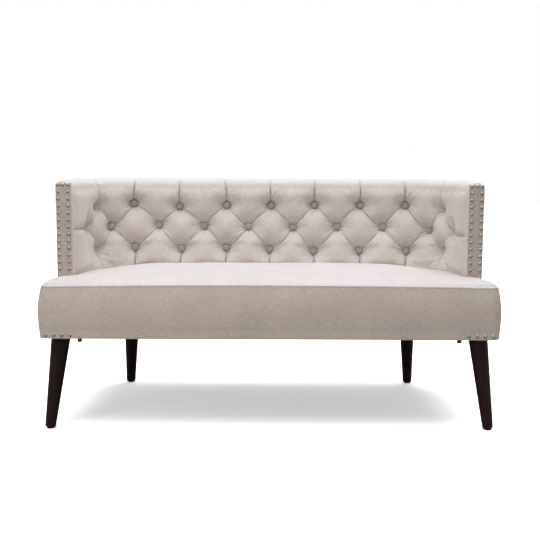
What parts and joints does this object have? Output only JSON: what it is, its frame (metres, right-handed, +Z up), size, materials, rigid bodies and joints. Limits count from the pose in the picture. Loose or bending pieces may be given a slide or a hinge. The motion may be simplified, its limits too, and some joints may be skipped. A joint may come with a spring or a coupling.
{
  "type": "settee",
  "caption": "Small upholstered settee with a diamond button-tufted back that curves round into short wings, nail-trimmed wing fronts, a boxed seat and splayed tapered legs.",
  "frame": {"origin": "on the floor, under the middle of the settee's overall box", "axes": "+X to the sitter's left along the settee, +Y from the seat's front towards the back, +Z up"},
  "size_m": [1.32, 0.646, 0.708],
  "materials": {
    "linen": "plain woven linen, matte",
    "linen_button": "plain woven linen in a darker taupe, matte",
    "espresso_wood": "dark stain under satin varnish",
    "nail_nickel": "antique nickel, satin",
    "plain_steel": "zinc plated, satin",
    "black_metal": "black, satin",
    "glide_nylon": "black, matte",
    "frame_wood": "unfinished beech",
    "strap_jute": "woven jute strap",
    "felt": "needled felt",
    "foam": "open-cell foam, matte",
    "fibreboard": "pressed fibre panel, matte",
    "toggle_plastic": "black, matte",
    "dust_cloth": "black non-woven cloth"
  },
  "bodies": {
    "root": {"leg_front_left": "espresso_wood", "leg_front_right": "espresso_wood", "leg_back_left": "espresso_wood", "leg_back_right": "espresso_wood", "leg_glides": "glide_nylon", "leg_plates": "plain_steel", "hanger_bolts": "plain_steel", "plate_screws": "plain_steel", "corner_bolts": "black_metal", "front_rail": "frame_wood", "back_rail": "frame_wood", "side_rail_left": "frame_wood", "side_rail_right": "frame_wood", "corner_rail_left": "frame_wood", "corner_rail_right": "frame_wood", "cross_rail_left": "frame_wood", "cross_rail_right": "frame_wood", "front_block_left": "frame_wood", "front_block_right": "frame_wood", "back_block_left": "frame_wood", "back_block_right": "frame_wood", "block_screws": "plain_steel", "wing_front_post_left": "frame_wood", "wing_front_post_right": "frame_wood", "wing_rear_post_left": "frame_wood", "wing_rear_post_right": "frame_wood", "back_post_left": "frame_wood", "back_post_centre": "frame_wood", "back_post_right": "frame_wood", "wing_top_rail_left": "frame_wood", "wing_top_rail_right": "frame_wood", "corner_top_rail_left": "frame_wood", "corner_top_rail_right": "frame_wood", "back_top_rail": "frame_wood", "long_webbing": "strap_jute", "short_webbing": "strap_jute", "seat_felt": "felt", "seat_foam": "foam", "seat_top_panel": "linen", "seat_border": "linen", "lining_panel": "fibreboard", "tuft_toggles": "toggle_plastic", "back_foam": "foam", "tufted_cover": "linen", "buttons_top_row": "linen_button", "buttons_middle_row": "linen_button", "buttons_bottom_row": "linen_button", "outside_back_cover": "linen", "outside_corner_cover_left": "linen", "outside_corner_cover_right": "linen", "outside_wing_cover_left": "linen", "outside_wing_cover_right": "linen", "wing_front_panel_left": "linen", "wing_front_panel_right": "linen", "wing_nails_left": "nail_nickel", "wing_nails_right": "nail_nickel", "seat_nails_left": "nail_nickel", "seat_nails_right": "nail_nickel", "dust_cover": "dust_cloth"}
  },
  "joints": []
}
